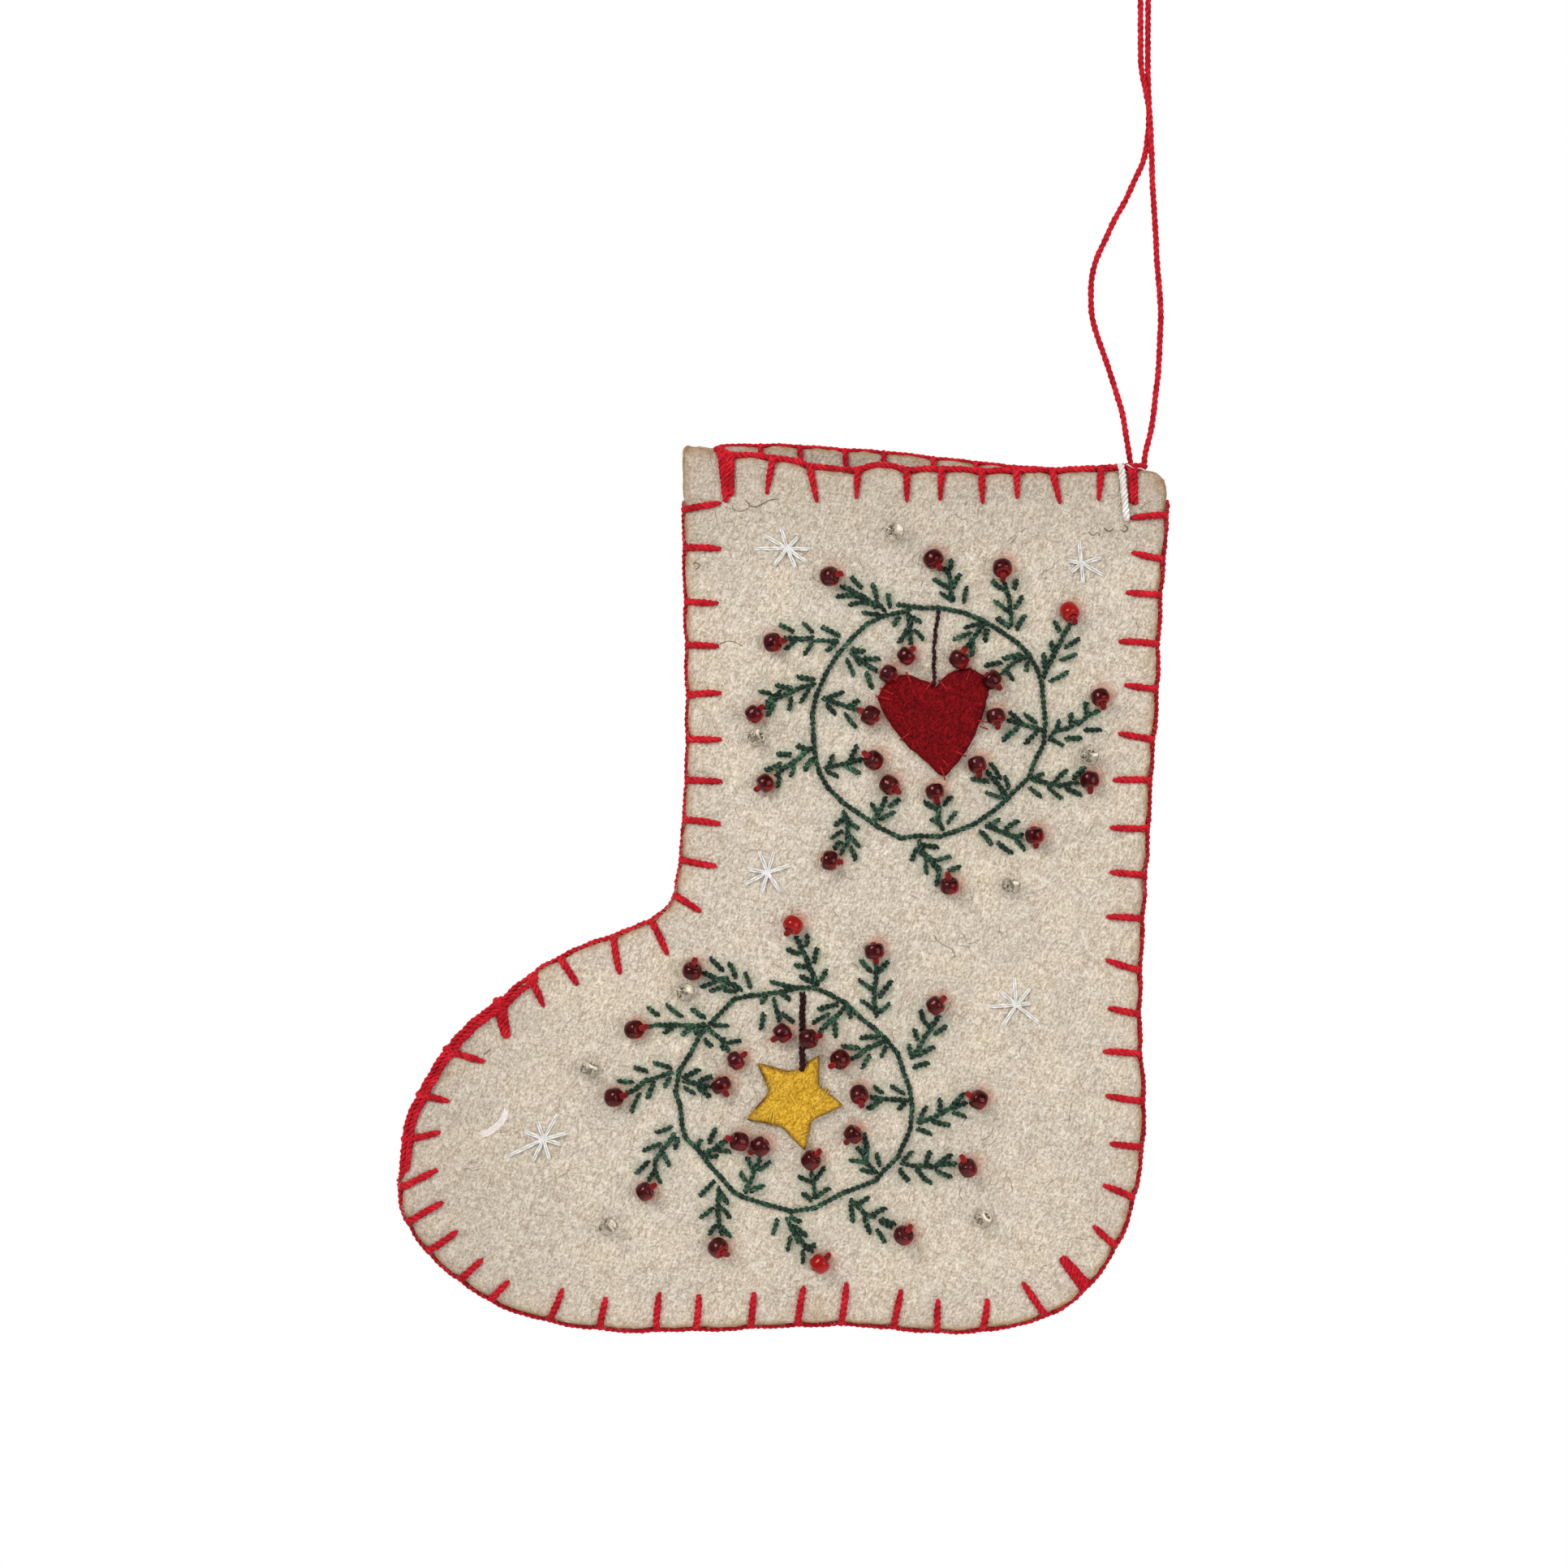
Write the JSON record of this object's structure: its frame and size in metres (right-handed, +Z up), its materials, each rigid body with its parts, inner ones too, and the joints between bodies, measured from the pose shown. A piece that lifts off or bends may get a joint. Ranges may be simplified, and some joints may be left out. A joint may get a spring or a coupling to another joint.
{
  "type": "hanging stocking",
  "caption": "Felt stocking ornament with stitched edges, embroidered wreaths, glass beads, heart and star appliques, an opening mouth and a yarn hanging loop.",
  "frame": {"origin": "centre of the yarn eye that hangs on the hook", "axes": "+X towards the heel side, -Y out of the decorated front, +Z up, with the stocking hanging below the origin"},
  "size_m": [0.1142, 0.013, 0.2137],
  "materials": {
    "cream_felt": "matte",
    "red_yarn": "matte",
    "white_cord": "matte",
    "green_floss": "satin",
    "ruby_glass": "gloss",
    "red_thread": "satin",
    "clear_glass": "gloss",
    "cream_thread": "matte",
    "white_thread": "satin",
    "red_felt": "matte",
    "gold_felt": "matte",
    "gold_thread": "satin",
    "brown_thread": "matte"
  },
  "bodies": {
    "hanging_eye": {"loop_eye": "red_yarn"},
    "loop_stem": {"loop_stem_left": "red_yarn", "loop_stem_right": "red_yarn"},
    "loop_legs": {"loop_leg_left": "red_yarn", "loop_leg_right": "red_yarn"},
    "stocking": {"loop_root": "red_yarn", "loop_anchor_knot": "red_yarn", "front_panel": "cream_felt", "back_panel": "cream_felt", "seam_stitching_instep": "red_yarn", "seam_stitching_sole": "red_yarn", "seam_stitching_back": "red_yarn", "back_hem_stitching": "red_yarn", "hem_corner_stitch_left": "red_yarn", "hem_corner_stitch_right": "red_yarn", "white_corner_cord": "white_cord", "lower_wreath_ring": "green_floss", "lower_outer_sprigs": "green_floss", "lower_inner_sprigs": "green_floss", "lower_outer_beads": "ruby_glass", "lower_inner_beads": "ruby_glass", "lower_bead_threads": "red_thread", "lower_clear_beads": "clear_glass", "lower_clear_bead_threads": "cream_thread", "lower_snow_stars": "white_thread", "star_applique": "gold_felt", "star_hanger_thread": "brown_thread", "star_tacks": "gold_thread", "lower_thread_floats": "red_thread", "lower_thread_knots": "green_floss"},
    "front_mouth": {"front_panel_mouth": "cream_felt", "front_hem_stitching": "red_yarn", "upper_wreath_ring": "green_floss", "upper_outer_sprigs": "green_floss", "upper_inner_sprigs": "green_floss", "upper_outer_beads": "ruby_glass", "upper_inner_beads": "ruby_glass", "upper_bead_threads": "red_thread", "upper_clear_beads": "clear_glass", "upper_clear_bead_threads": "cream_thread", "upper_snow_stars": "white_thread", "heart_applique": "red_felt", "heart_hanger_thread": "brown_thread", "heart_tacks": "red_thread", "upper_thread_floats": "red_thread", "upper_thread_knots": "green_floss"}
  },
  "joints": [
    {"name": "loop_bend", "type": "hinge", "parent": "hanging_eye", "child": "loop_stem", "pos_m": [0, 0, -0.0044], "axis": [1, 0, 0], "range_deg": [-80, 80]},
    {"name": "loop_twist", "type": "hinge", "parent": "loop_stem", "child": "loop_legs", "pos_m": [0.00048, 0, -0.03552], "axis": [0, 0, 1], "range_deg": [-180, 180]},
    {"name": "stocking_swing", "type": "hinge", "parent": "loop_legs", "child": "stocking", "pos_m": [-0.00108, 0, -0.07956], "axis": [0, 1, 0], "range_deg": [-75, 60]},
    {"name": "mouth_open", "type": "hinge", "parent": "stocking", "child": "front_mouth", "pos_m": [-0.0335, -0.0025, -0.14652], "axis": [1, 0, 0], "range_deg": [0, 9.5]}
  ]
}
